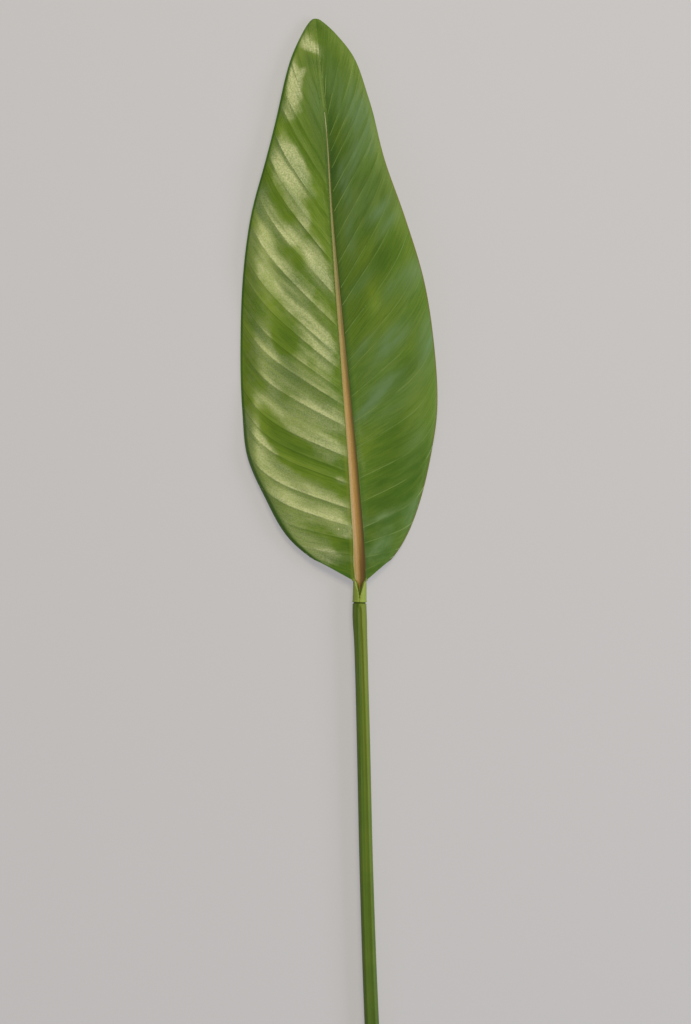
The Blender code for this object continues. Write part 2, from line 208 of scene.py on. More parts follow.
def channel_dip(distance, offset):
    """How far the channel along the midrib lies below the blade, offset from the middle."""
    share = np.minimum(offset / through(CHANNEL_HALF_WIDTH, distance), 1)
    return through(CHANNEL_DEPTH, distance) * (1 - share**2)


def near_tip(distance):
    """0 over most of the blade, rising to 1 towards the tip, where the fold opens into a soft hollow."""
    first, last = FOLD_OPENS
    return np.clip((distance - first) / (last - first), 0, 1)


def smooth_height(distance, side, share):
    """The upper face without pleats or puckers, share of the way from the midrib to the edge."""
    edge = through(LEFT_EDGE_HEIGHT if side < 0 else RIGHT_EDGE_HEIGHT, distance)
    curl = through(LEFT_CURL if side < 0 else RIGHT_CURL, distance)
    bow = LEFT_BOW if side < 0 else RIGHT_BOW
    bow = bow * half_width(distance, side) / half_width(BOW_HIGHEST_AT, side)
    middle = through(MIDRIB_HEIGHT, distance)
    past_curl = np.maximum(share - CURL_START, 0) / (1 - CURL_START)
    easing = FOLD_EASING * near_tip(distance) + SHARP_FOLD
    risen = share * share * (1 + easing) / (share + easing)
    return middle + (edge - middle) * risen + 4 * bow * risen * (1 - risen) - curl * past_curl**2


def below_tip(start):
    """1 over most of the blade, falling to 0 before the tip, where the pleats run together."""
    first, last = TIP_FADE
    return np.clip((last - start) / (last - first), 0, 1)


def pleats(start, side, share):
    """How far the blade sinks between its side veins, with a finer fold or two inside each."""
    places, strengths = np.array(LEFT_VEINS if side < 0 else RIGHT_VEINS, float).T
    i = np.clip(np.searchsorted(places, start, side="right") - 1, 0, len(places) - 2)
    gap = places[i + 1] - places[i]
    between = (start - places[i]) / gap
    folds = np.maximum(np.round(gap / FOLD_SPACING), 1)
    inner = (between * folds) % 1
    lost = LEFT_PLEATS_LOST if side < 0 else RIGHT_PLEATS_LOST
    fade = np.minimum(share / PLEATS_FULL_FROM, 1) * (1 - lost * share**4) * below_tip(start)
    deep = strengths[i] * np.minimum(gap / WIDE_PLEAT, WIDEST_SAG) * 4 * between * (1 - between)
    fine = FOLD_DEPTH * 4 * inner * (1 - inner) * (folds > 1) * (FOLD_LEAST + (1 - FOLD_LEAST) * strengths[i])
    return (LEFT_SAG if side < 0 else RIGHT_SAG) * fade * (deep + fine)


def ovals(table, sideways, along):
    """The sum of the soft ovals of a table, at places on the blade."""
    total = np.zeros(along.shape)
    for x, y, turned, long, short, height in table:
        turn = math.radians(turned)
        ahead = (sideways - x) * math.cos(turn) + (along - y) * math.sin(turn)
        aside = (along - y) * math.cos(turn) - (sideways - x) * math.sin(turn)
        total += height * np.exp(-((ahead / long) ** 2) - (aside / short) ** 2)
    return total


def puckers(start, across, side):
    """The small uneven dents, longer along the veins than across them."""
    total = np.zeros(start.shape)
    for long, short, height, seed in DENTS:
        places = np.stack([start.ravel() / short, across.ravel() / long], axis=1)
        values = [noise.noise(Vector((x, y, seed + 5 * side))) for x, y in places]
        total += height * np.array(values).reshape(start.shape)
    return total


def blade_surface(start, side, share):
    """Points of the upper face in millimetres from the blade's foot, on rows that follow the side veins."""
    lead = through(VEIN_LEAD, start)
    even = through(VEIN_STRAIGHTNESS, start)
    distance = start + lead * (even * share + (1 - even) * share**VEIN_HOOK_POWER)
    channel = through(CHANNEL_HALF_WIDTH, start)
    reach = half_width(start + lead, side)
    offset = np.minimum(channel, reach) + np.maximum(reach - channel, 0) * share
    sideways = through(MIDLINE, distance) + side * offset
    at_edge = np.minimum((1 - share) / SWELLS_FADE_AT_EDGE + SWELLS_KEPT_AT_EDGE, 1)
    fade = np.minimum(share / SWELLS_FULL_FROM, 1) * at_edge * below_tip(start)
    straight_across = np.minimum(offset / half_width(distance, side), 1)
    lateral = share + (straight_across - share) * near_tip(distance)
    height = smooth_height(distance, side, lateral) - channel_dip(distance, offset)
    height -= pleats(start, side, share)
    puckered = LEFT_PUCKER if side < 0 else RIGHT_PUCKER
    height += fade * (ovals(SWELLS, sideways, distance) + puckered * puckers(start, share * reach, side))
    return np.stack([sideways, distance, np.maximum(height, BLADE_THICKNESS)], axis=-1)


def channel_surface(start, side, across):
    """Points of the channel along the midrib, across from 0 at its bottom to 1 at its edge."""
    channel = np.minimum(through(CHANNEL_HALF_WIDTH, start), half_width(start, side))
    offset = channel * across
    height = smooth_height(start, side, np.zeros(start.shape)) - channel_dip(start, offset)
    return np.stack([through(MIDLINE, start) + side * offset, start, height], axis=-1)


def blade_rows():
    """Where the rows leave the midrib: on each side vein, close on either side of it, and between."""
    veins = sorted({place for place, sinks in LEFT_VEINS + RIGHT_VEINS})
    marks = sorted({
        round(place + step, 2)
        for place in veins
        for step in (-CREASE_HALF_WIDTH, 0, CREASE_HALF_WIDTH)
        if 0 <= place + step <= BLADE_LENGTH
    })
    rows = [marks[0]]
    for near, far in zip(marks, marks[1:]):
        if far - near < CLOSEST_ROWS:
            continue
        parts = max(math.ceil((far - near) / ROW_SPACING), 1)
        rows += [near + (far - near) * k / parts for k in range(1, parts + 1)]
    return np.array(rows)


def strip_faces(row_count, length, closed=False):
    """Four-sided faces between rows of points of one length. Closed rows run round to their own start."""
    made = []
    for row in range(row_count - 1):
        here = row * length
        beyond = here + length
        for k in range(length if closed else length - 1):
            after = (k + 1) % length
            made.append((here + k, here + after, beyond + after, beyond + k))
    return made


def put_in_scene(name, data):
    """An object that shows this mesh, lamp or camera."""
    made = bpy.data.objects.new(name, data)
    bpy.context.scene.collection.objects.link(made)
    return made


def new_object(name, points, edges=(), faces=(), materials=()):
    """A mesh object from points in millimetres from the blade's foot."""
    mesh = bpy.data.meshes.new(name)
    mesh.from_pydata([(Vector(point) + FOOT) * MM for point in points], edges, faces)
    for item in materials:
        mesh.materials.append(item)
    return put_in_scene(name, mesh)


def give_values(thing, name, values):
    """A value for each point of a mesh, for its material to read."""
    thing.data.attributes.new(name, "FLOAT", "POINT").data.foreach_set("value", np.array(values, np.float32))


def give_uv(thing, u, v):
    """A UV map from a pair of values for each point."""
    layer = thing.data.uv_layers.new(name="UVMap")
    corners = np.zeros(len(thing.data.loops), int)
    thing.data.loops.foreach_get("vertex_index", corners)
    layer.data.foreach_set("uv", np.stack([np.array(u)[corners], np.array(v)[corners]], axis=1).ravel())


def new_tree(name, kind, inputs, outputs):
    """A node group with named inputs and outputs, and the sockets that they have inside it."""
    made = bpy.data.node_groups.new(name, kind)
    for direction, sockets in (("INPUT", inputs), ("OUTPUT", outputs)):
        for label, value in sockets:
            made.interface.new_socket(label, in_out=direction, socket_type="NodeSocket" + value)
    return made, made.nodes.new("NodeGroupInput").outputs, made.nodes.new("NodeGroupOutput").inputs


def plug(tree, socket, value):
    """Links value to socket if it is a socket, and sets it otherwise."""
    if isinstance(value, bpy.types.NodeSocket):
        tree.links.new(value, socket)
    else:
        socket.default_value = value


def maths(tree, operation, a, b=0.0):
    made = tree.nodes.new("ShaderNodeMath")
    made.operation = operation
    plug(tree, made.inputs[0], a)
    plug(tree, made.inputs[1], b)
    return made.outputs[0]


def product(tree, share, *others):
    """A share of the surface times other shares."""
    for other in others:
        share = maths(tree, "MULTIPLY", share, other)
    return share


def blend_colours(tree, share, first, second):
    made = tree.nodes.new("ShaderNodeMix")
    made.data_type = "RGBA"
    plug(tree, made.inputs["Factor"], share)
    plug(tree, made.inputs["A"], first)
    plug(tree, made.inputs["B"], second)
    return made.outputs["Result"]


def paint_over(tree, colour, coats):
    """Lays further colours over a first one in turn, each over its own share of the surface."""
    for share, over in coats:
        colour = blend_colours(tree, share, colour, over)
    return colour


def fade_between(tree, value, low, high, at_low=0.0, at_high=1.0):
    """at_low where value is low, at_high where it is high, and smooth between."""
    made = tree.nodes.new("ShaderNodeMapRange")
    made.interpolation_type = "SMOOTHSTEP"
    names = ("Value", "From Min", "From Max", "To Min", "To Max")
    for name, given in zip(names, (value, low, high, at_low, at_high)):
        plug(tree, made.inputs[name], given)
    return made.outputs["Result"]


def read_value(tree, name):
    made = tree.nodes.new("ShaderNodeAttribute")
    made.attribute_name = name
    return made.outputs["Fac"]


def read_uv(tree):
    """The two UV values of the surface, as numbers."""
    made = tree.nodes.new("ShaderNodeSeparateXYZ")
    tree.links.new(tree.nodes.new("ShaderNodeUVMap").outputs["UV"], made.inputs[0])
    return made.outputs["X"], made.outputs["Y"]


def combine(tree, x, y, z=0.0):
    made = tree.nodes.new("ShaderNodeCombineXYZ")
    for socket, value in zip(made.inputs, (x, y, z)):
        plug(tree, socket, value)
    return made.outputs[0]


def drawn_out(tree, first, first_scale, second, second_scale):
    """A place for a pattern, with its own scale in each of two directions."""
    return combine(tree, product(tree, first, first_scale), product(tree, second, second_scale))


def speckle(tree, vector, scale, detail=2.0, roughness=0.5):
    made = tree.nodes.new("ShaderNodeTexNoise")
    for name, value in (("Vector", vector), ("Scale", scale), ("Detail", detail), ("Roughness", roughness)):
        plug(tree, made.inputs[name], value)
    return made.outputs["Fac"]


def object_place(tree):
    return tree.nodes.new("ShaderNodeTexCoord").outputs["Object"]


def new_material(name):
    """A material, its node tree and its Principled shader."""
    made = bpy.data.materials.new(name)
    made.use_nodes = True
    return made, made.node_tree, made.node_tree.nodes["Principled BSDF"]


def raise_surface(tree, shader, height, strength, distance):
    """Bump on a shader, from a height that changes over the surface."""
    made = tree.nodes.new("ShaderNodeBump")
    made.inputs["Strength"].default_value = strength
    made.inputs["Distance"].default_value = distance
    plug(tree, made.inputs["Height"], height)
    tree.links.new(made.outputs["Normal"], shader.inputs["Normal"])


# Streaks and grain that run with the side veins, shared by both faces of the blade
grain, given, result = new_tree(
    "leaf grain", "ShaderNodeTree",
    (("Across", "Float"), ("Along", "Float")),
    (("Streaks", "Float"), ("Fibres", "Float"), ("Grit", "Float")),
)
wide = drawn_out(grain, given["Along"], 60.0, given["Across"], 5.0)
thin = drawn_out(grain, given["Along"], 330.0, given["Across"], 9.0)
plug(grain, result["Streaks"], speckle(grain, wide, 1.0, 3.0, 0.55))
plug(grain, result["Fibres"], speckle(grain, thin, 1.0, 2.0, 0.6))
plug(grain, result["Grit"], speckle(grain, object_place(grain), 1000.0, 1.0, 0.5))


def leaf_grain(tree, across, along):
    made = tree.nodes.new("ShaderNodeGroup")
    made.node_tree = grain
    plug(tree, made.inputs["Across"], across)
    plug(tree, made.inputs["Along"], along)
    return made.outputs["Streaks"], made.outputs["Fibres"], made.outputs["Grit"]


# The upper face: deep green and waxy, yellower in patches, with painted light and shade, and a painted bluish
# reflection on the right half
LEAF_GREEN = (0.066, 0.149, 0.012, 1)
LEAF_GREEN_LIGHTER = (0.1, 0.184, 0.016, 1)
# Painted reflection: the right half is made lighter and bluer all over, for the cool fill that it reflects
RIGHT_HALF_REFLECTION_GREEN = (0.085, 0.19, 0.04, 1)
STREAK_GREEN = (0.11, 0.19, 0.017, 1)
# Yellowed places; along the left edge these also paint the sheen that the light puts there
YELLOWED_AND_SHEEN_GREEN = (0.172, 0.262, 0.028, 1)
PALE_FIBRE = (0.15, 0.235, 0.035, 1)
DARK_FIBRE = (0.055, 0.12, 0.012, 1)
GRIT_GREEN = (0.12, 0.185, 0.025, 1)
# Painted shade: darker green where the blade folds or turns away from the light
PAINTED_SHADE_GREEN = (0.04, 0.1, 0.011, 1)
# Painted reflection: a bluish sheen of the cool light, mostly on the right half
PAINTED_SHEEN_GREEN = (0.125, 0.22, 0.105, 1)
# Painted shade in the creases along the left half's veins
LEFT_CREASE_SHADE = (0.032, 0.085, 0.007, 1)
RIGHT_VEIN_GREEN = (0.16, 0.25, 0.08, 1)
SPECK_CREAM = (0.5, 0.52, 0.36, 1)
# Painted shade on the left edge, which curls down away from the light
LEFT_EDGE_SHADE = (0.035, 0.105, 0.014, 1)
RIGHT_EDGE_BROWN = (0.15, 0.13, 0.03, 1)
# Painted highlight on the channel's left shoulder, which faces the key light
LIT_SHOULDER_GREEN = (0.15, 0.205, 0.025, 1)
# Painted shadow beside the rib on its right, where the channel wall is in shade
RIB_SHADOW_GREEN = (0.045, 0.11, 0.03, 1)
# Painted shade down in the channel
CHANNEL_SHADE_GREEN = (0.085, 0.135, 0.06, 1)
PALE_LINE_GREEN = (0.15, 0.235, 0.05, 1)
FOOT_GREEN = (0.2, 0.275, 0.05, 1)

upper, tree, shader = new_material("blade upper face")
across, along = read_uv(tree)
streaks, fibres, grit = leaf_grain(tree, across, along)
from_edge = read_value(tree, "from_edge")
from_rib = read_value(tree, "from_rib")
blotches = speckle(tree, object_place(tree), 26.0, 3.0, 0.55)
on_right = fade_between(tree, across, 0.49, 0.51)
on_left = maths(tree, "SUBTRACT", 1.0, on_right)

# Yellowed places with some painted sheen, painted shade, a painted bluish reflection, and veins, with their
# colour broken by the leaf's streaks
# Yellowed places, partly painted sheen along the left edge
yellow_and_sheen = product(tree, read_value(tree, "yellow_and_sheen"), fade_between(tree, streaks, 0.35, 0.65, 0.4, 0.9))
# Painted shade where the blade folds or turns away from the light
deep = product(tree, read_value(tree, "deep"), fade_between(tree, streaks, 0.3, 0.65, 0.85, 0.55))
# Painted reflection of the cool light, bluish, mostly on the right half
painted_sheen = product(tree, read_value(tree, "painted_sheen"), fade_between(tree, streaks, 0.35, 0.65, 0.45, 1.0))
on_vein = product(tree, read_value(tree, "vein"), fade_between(tree, along, 0.78, 0.92, 1.0, 0.15))
broken = fade_between(tree, speckle(tree, object_place(tree), 45.0, 1.0), 0.4, 0.6, 0.1, 0.75)

# A few pale specks, at the middle of one in twenty-five cells of a fine net
specks = tree.nodes.new("ShaderNodeTexVoronoi")
specks.inputs["Scale"].default_value = 110
tree.links.new(object_place(tree), specks.inputs["Vector"])
chosen = tree.nodes.new("ShaderNodeSeparateColor")
tree.links.new(specks.outputs["Color"], chosen.inputs["Color"])
few = maths(tree, "GREATER_THAN", chosen.outputs["Red"], 0.96)
on_speck = product(tree, few, fade_between(tree, specks.outputs["Distance"], 0.05, 0.09, 0.8, 0.0))

# Both edges, the sides of the midrib and the foot, by how far the surface lies from the edge and from the rib
margin = maths(tree, "DIVIDE", from_edge, fade_between(tree, along, 0.04, 0.24, 3.8, 1.9))
# Painted shade on the curled-down left edge
shaded_left_edge = product(tree, fade_between(tree, margin, 0.55, 1.1, 0.8, 0.0), on_left)
right_edge = product(tree, fade_between(tree, from_edge, 0.2, 1.3, 0.7, 0.0), on_right,
                     fade_between(tree, along, 0.4, 0.75, 1.0, 0.1))
# Painted highlight on the channel's left shoulder
lit_shoulder = product(tree, fade_between(tree, from_rib, 1.0, 3.4, 0.6, 0.0), on_left,
                   fade_between(tree, along, 0.18, 0.36, 1.0, 0.0))
# Painted shadow beside the rib on its right
shadow_beside_rib = product(tree, fade_between(tree, from_rib, 0.5, 4.0, 0.5, 0.0), on_right,
                     fade_between(tree, along, 0.78, 0.9, 1.0, 0.0))
# Painted shade in the channel
channel_shade = product(tree, fade_between(tree, from_rib, -3.0, -0.3, 1.0, 0.0),
                     fade_between(tree, along, 0.74, 0.82, 1.0, 0.0))
past_midrib = product(tree, fade_between(tree, from_rib, -1.8, -1.2, 0.6, 0.0),
                      fade_between(tree, along, 0.835, 0.845), fade_between(tree, along, 0.9, 0.95, 1.0, 0.0))
at_foot = product(tree, fade_between(tree, along, 0.002, 0.006, 0.8, 0.0),
                  fade_between(tree, from_rib, 0.5, 1.3, 1.0, 0.0))

ground = blend_colours(tree, fade_between(tree, blotches, 0.35, 0.68), LEAF_GREEN, LEAF_GREEN_LIGHTER)
plug(tree, shader.inputs["Base Color"], paint_over(tree, ground, (
    (product(tree, on_right, 0.4), RIGHT_HALF_REFLECTION_GREEN),
    (fade_between(tree, streaks, 0.4, 0.75, 0.0, 0.5), STREAK_GREEN),
    (yellow_and_sheen, YELLOWED_AND_SHEEN_GREEN),
    (fade_between(tree, fibres, 0.45, 0.7, 0.0, 0.5), PALE_FIBRE),
    (fade_between(tree, fibres, 0.3, 0.52, 0.5, 0.0), DARK_FIBRE),
    (fade_between(tree, grit, 0.3, 0.7, 0.0, 0.4), GRIT_GREEN),
    (deep, PAINTED_SHADE_GREEN),
    (painted_sheen, PAINTED_SHEEN_GREEN),
    (product(tree, on_vein, on_left, 0.55), LEFT_CREASE_SHADE),
    (product(tree, on_vein, on_right, broken), RIGHT_VEIN_GREEN),
    (on_speck, SPECK_CREAM),
    (shaded_left_edge, LEFT_EDGE_SHADE),
    (right_edge, RIGHT_EDGE_BROWN),
    (lit_shoulder, LIT_SHOULDER_GREEN),
    (shadow_beside_rib, RIB_SHADOW_GREEN),
    (channel_shade, CHANNEL_SHADE_GREEN),
    (past_midrib, PALE_LINE_GREEN),
    (at_foot, FOOT_GREEN),
)))
plug(tree, shader.inputs["Roughness"], fade_between(tree, streaks, 0.3, 0.75, 0.36, 0.46))

# The wax is a coat that shines softly where it is thick. It is uneven, and thin along the edges.
uneven = product(tree, maths(tree, "SUBTRACT", speckle(tree, object_place(tree), 90.0, 3.0, 0.6), 0.5), 0.9)
wax = fade_between(tree, maths(tree, "ADD", read_value(tree, "wax"), uneven), 0.1, 0.8, 0.0, 0.95)
wax = product(tree, wax, fade_between(tree, grit, 0.3, 0.7, 0.5, 1.0),
              fade_between(tree, margin, 0.55, 1.2, 0.1, 1.0))
plug(tree, shader.inputs["Coat Weight"], wax)
shader.inputs["Coat Roughness"].default_value = 0.5
shader.inputs["Coat IOR"].default_value = 2.3
shader.inputs["Coat Tint"].default_value = (1, 0.98, 0.82, 1)
shader.inputs["Specular IOR Level"].default_value = 0.14
shader.inputs["Specular Tint"].default_value = (1, 0.93, 0.8, 1)
height = maths(tree, "ADD", product(tree, fibres, 0.7), product(tree, grit, 0.6))
raise_surface(tree, shader, height, 0.4, 0.00014)

# The underside: paler and matt, with a green keel
UNDERSIDE_GREEN = (0.14, 0.22, 0.055, 1)
UNDERSIDE_GREEN_LIGHTER = (0.19, 0.28, 0.08, 1)
UNDERSIDE_FIBRE = (0.24, 0.33, 0.11, 1)
KEEL_GREEN = (0.22, 0.3, 0.08, 1)

under, tree, shader = new_material("blade underside")
across, along = read_uv(tree)
streaks, fibres, grit = leaf_grain(tree, across, along)
ground = blend_colours(tree, fade_between(tree, streaks, 0.35, 0.7), UNDERSIDE_GREEN, UNDERSIDE_GREEN_LIGHTER)
plug(tree, shader.inputs["Base Color"], paint_over(tree, ground, (
    (fade_between(tree, fibres, 0.4, 0.7, 0.0, 0.3), UNDERSIDE_FIBRE),
    (fade_between(tree, read_value(tree, "from_rib"), 0.2, 1.5, 1.0, 0.0), KEEL_GREEN),
)))
plug(tree, shader.inputs["Roughness"], fade_between(tree, streaks, 0.3, 0.75, 0.5, 0.62))
raise_surface(tree, shader, maths(tree, "ADD", fibres, product(tree, grit, 0.5)), 0.4, 0.00015)

# The mesh of the upper face, from the left edge over the channel to the right edge
rows = blade_rows()
spread = np.linspace(0, 1, BLADE_COLUMNS + 1)[1:]
shares = spread - COLUMN_CROWDING * np.sin(2 * math.pi * spread) / (2 * math.pi)
halves = []
for side in (-1, 1):
    inner_columns = [channel_surface(rows, side, across) for across in CHANNEL_COLUMNS]
    outer_columns = [blade_surface(rows, side, np.full(rows.shape, share)) for share in shares]
    halves.append(inner_columns + outer_columns)
columns = halves[0][::-1] + [channel_surface(rows, 1, 0)] + halves[1]
grid = np.stack(columns, axis=1)
row_count, column_count = grid.shape[:2]
faces = strip_faces(row_count, column_count)
blade = new_object("leaf_blade", grid.reshape(-1, 3), faces=faces, materials=(upper, under))

# What the blade's materials read: a UV map across the leaf and along it, and lengths in millimetres
side_shares = np.concatenate([np.zeros(len(CHANNEL_COLUMNS)), shares])
across_share = np.concatenate([-side_shares[::-1], [0], side_shares])
offsets = np.abs(grid[:, :, 0] - through(MIDLINE, grid[:, :, 1]))
edge = np.where(across_share < 0, half_width(grid[:, :, 1], -1), half_width(grid[:, :, 1], 1))
give_uv(blade, np.tile(0.5 + across_share / 2, row_count), np.repeat(rows / BLADE_LENGTH, column_count))
give_values(blade, "from_edge", (edge - offsets).ravel())
give_values(blade, "from_rib", (offsets - through(CHANNEL_HALF_WIDTH, rows)[:, None]).ravel())
on_vein = np.zeros((row_count, column_count))
for table, half in ((LEFT_VEINS, across_share < 0), (RIGHT_VEINS, across_share > 0)):
    for place, sinks in table:
        on_vein[np.ix_(np.isclose(rows, place, atol=ROW_TOLERANCE), half)] = 1
give_values(blade, "vein", on_vein.ravel())
for name, table, strength in (
    ("deep", SHADE_OVALS, 1),
    ("yellow_and_sheen", YELLOW_AND_SHEEN, 1),
    ("painted_sheen", SHEEN_OVALS, 1),
    ("wax", WAX, WAX_STRENGTH),
):
    laid = ovals(table, grid[:, :, 0], grid[:, :, 1]) * strength
    give_values(blade, name, np.clip(laid, 0, 1).ravel())

# The sheet's thickness, and the keel's below the midrib
keel = blade.vertex_groups.new(name="keel")
steps = np.abs(np.arange(column_count) - column_count // 2)
keel_shape = np.interp(steps, range(len(KEEL_SHAPE)), KEEL_SHAPE)
thickest = KEEL_THICKNESS[0][1]
for row, place in enumerate(rows):
    for column in np.flatnonzero(keel_shape):
        depth = max(float(through(KEEL_THICKNESS, place)) * keel_shape[column], BLADE_THICKNESS)
        weight = (depth - BLADE_THICKNESS) / (thickest - BLADE_THICKNESS)
        keel.add([int(row * column_count + column)], weight, "REPLACE")
wall = blade.modifiers.new("Thickness", "SOLIDIFY")
wall.thickness = thickest * MM
wall.offset = -1
wall.vertex_group = "keel"
wall.thickness_vertex_group = BLADE_THICKNESS / thickest
wall.material_offset = 1


def settle(thing):
    """Applies the modifiers of a piece, and shades it smooth but for its sharp edges."""
    made = bpy.data.meshes.new_from_object(thing.evaluated_get(bpy.context.evaluated_depsgraph_get()))
    thing.modifiers.clear()
    thing.data = made
    made.shade_smooth()
    made.set_sharp_from_angle(angle=math.radians(SHARP_ANGLE))


settle(blade)
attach(blade, "root")
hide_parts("blade")

# The side veins
# Fine ribs that leave the midrib and run out to the edge, where they bend up along it. They are part of the
# sheet, hardly raised on its upper face and a little more on its underside.

VEIN_RADIUS = 0.5
VEIN_SIDES = 8
VEIN_POINTS = 26
VEIN_REACH = (0.005, 0.985)
VEIN_TAPER = 0.12

# A main vein rises where the pleats meet between these places, and finer ones in the folds inside each pleat
MAIN_VEINS_BETWEEN = (4, 372)
FINE_VEIN_SIZE = 0.8

# How far a vein's middle lies below the upper face
LEFT_SINK = 0.54
RIGHT_SINK = 0.48
FINE_SINK = 0.56

VEIN_GREEN = (0.12, 0.22, 0.04, 1)
VEIN_GREEN_LIGHTER = (0.19, 0.3, 0.09, 1)

vein_finish, tree, shader = new_material("side veins")
patches = fade_between(tree, speckle(tree, object_place(tree), 60.0, 2.0), 0.35, 0.65)
plug(tree, shader.inputs["Base Color"], blend_colours(tree, patches, VEIN_GREEN, VEIN_GREEN_LIGHTER))
shader.inputs["Roughness"].default_value = 0.42

ribs, given, result = new_tree(
    "ribs along paths", "GeometryNodeTree",
    (("Paths", "Geometry"), ("Rib radius", "Float"), ("Sides", "Int"), ("Finish", "Material")),
    (("Ribs", "Geometry"),),
)
as_curve = ribs.nodes.new("GeometryNodeMeshToCurve")
taper = ribs.nodes.new("GeometryNodeInputNamedAttribute")
taper.data_type = "FLOAT"
taper.inputs["Name"].default_value = "taper"
ring = ribs.nodes.new("GeometryNodeCurvePrimitiveCircle")
swept = ribs.nodes.new("GeometryNodeCurveToMesh")
swept.inputs["Fill Caps"].default_value = True
real = ribs.nodes.new("GeometryNodeRealizeInstances")
painted = ribs.nodes.new("GeometryNodeSetMaterial")
for source, target in (
    (given["Paths"], as_curve.inputs["Mesh"]),
    (as_curve.outputs["Curve"], swept.inputs["Curve"]),
    (taper.outputs["Attribute"], swept.inputs["Scale"]),
    (given["Rib radius"], ring.inputs["Radius"]),
    (given["Sides"], ring.inputs["Resolution"]),
    (ring.outputs["Curve"], swept.inputs["Profile Curve"]),
    (swept.outputs["Mesh"], real.inputs["Geometry"]),
    (real.outputs["Geometry"], painted.inputs["Geometry"]),
    (given["Finish"], painted.inputs["Material"]),
    (painted.outputs["Geometry"], result["Ribs"]),
):
    ribs.links.new(source, target)


def run_tree(thing, tree, values):
    """Runs a geometry tree on a piece with these inputs, and leaves the result as its plain mesh."""
    modifier = thing.modifiers.new(tree.name, "NODES")
    modifier.node_group = tree
    for item in tree.interface.items_tree:
        if item.item_type == "SOCKET" and item.in_out == "INPUT" and item.name in values:
            modifier[item.identifier] = values[item.name]
    settle(thing)


points = []
links = []
tapers = []
for side, table in ((-1, LEFT_VEINS), (1, RIGHT_VEINS)):
    places = np.array(table, float)[:, 0]
    main_sink = LEFT_SINK if side < 0 else RIGHT_SINK
    lowest, highest = MAIN_VEINS_BETWEEN
    roots = [(place, 1.0, main_sink) for place in places if lowest < place < highest]
    for near, far in zip(places, places[1:]):
        folds = max(round((far - near) / FOLD_SPACING), 1)
        roots += [(near + (far - near) * k / folds, FINE_VEIN_SIZE, FINE_SINK) for k in range(1, folds)]
    for root, size, sink in roots:
        reach = np.linspace(*VEIN_REACH, VEIN_POINTS)
        path = blade_surface(np.full(VEIN_POINTS, root), side, reach)
        path[:, 2] -= sink
        first = len(points)
        points += [tuple(point) for point in path]
        links += [(first + k, first + k + 1) for k in range(VEIN_POINTS - 1)]
        tapers += list(size * (1 - VEIN_TAPER * reach))
veins = new_object("side_veins", points, links)
give_values(veins, "taper", tapers)
run_tree(veins, ribs, {"Rib radius": VEIN_RADIUS * MM, "Sides": VEIN_SIDES, "Finish": vein_finish})
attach(veins, "root")

# The midrib
# The tan rib in the channel along the middle of the blade: smooth, hollowed like a shallow gutter, widest at
# the blade's foot, where it runs into the notch of the stalk's collar, and gone below the tip.

MIDRIB_HALF_WIDTH = ((-6, 0.2), (-4, 0.8), (-2, 1.5), (0, 2.9), (6, 3.9), (28, 3.85), (68, 3.4), (107, 2.9),
                     (157, 2.25), (209, 1.75), (258, 1.0), (310, 0.55), (334, 0.2))
MIDRIB_THICKNESS = 1.25
MIDRIB_FULL_FROM = 2
MIDRIB_EDGE_THINNING = 0.8
MIDRIB_SUNK = 0.1
MIDRIB_STATIONS = 190
MIDRIB_COLUMNS = 12

RIB_TAN = (0.355, 0.21, 0.062, 1)
RIB_GREY_GREEN = (0.145, 0.205, 0.085, 1)
RIB_FOOT_BROWN = (0.3, 0.18, 0.035, 1)
RIB_LINE_TAN = (0.44, 0.3, 0.11, 1)
RIB_LEFT_GREEN = (0.2, 0.25, 0.05, 1)
RIB_RIGHT_SHADE = (0.075, 0.06, 0.016, 1)
RIB_PALE_END = (0.38, 0.41, 0.27, 1)
RIB_FOOT_SHADE = (0.13, 0.075, 0.03, 1)
RIB_PORE_BROWN = (0.2, 0.1, 0.03, 1)

midrib_finish, tree, shader = new_material("tan midrib")
across, along = read_uv(tree)
lines = speckle(tree, drawn_out(tree, across, 9.0, along, 24.0), 1.0, 3.0)
pores = speckle(tree, object_place(tree), 900.0, 2.0)
foot_shade = product(tree, fade_between(tree, across, 0.42, 0.62, 0.0, 0.75),
                     fade_between(tree, along, 0.03, 0.14, 1.0, 0.0))
ground = blend_colours(tree, fade_between(tree, along, 0.25, 0.85), RIB_TAN, RIB_GREY_GREEN)
plug(tree, shader.inputs["Base Color"], paint_over(tree, ground, (
    (fade_between(tree, along, 0.0, 0.14, 1.0, 0.0), RIB_FOOT_BROWN),
    (fade_between(tree, lines, 0.35, 0.7, 0.0, 0.35), RIB_LINE_TAN),
    (fade_between(tree, across, 0.0, 0.16, 0.75, 0.0), RIB_LEFT_GREEN),
    (fade_between(tree, across, 0.62, 0.98, 0.0, 0.85), RIB_RIGHT_SHADE),
    (fade_between(tree, along, 0.955, 0.975, 0.0, 0.8), RIB_PALE_END),
    (foot_shade, RIB_FOOT_SHADE),
    (fade_between(tree, pores, 0.4, 0.65, 0.0, 0.18), RIB_PORE_BROWN),
)))
plug(tree, shader.inputs["Roughness"], fade_between(tree, lines, 0.3, 0.7, 0.4, 0.52))
raise_surface(tree, shader, maths(tree, "ADD", lines, product(tree, pores, 0.3)), 0.3, 0.00015)

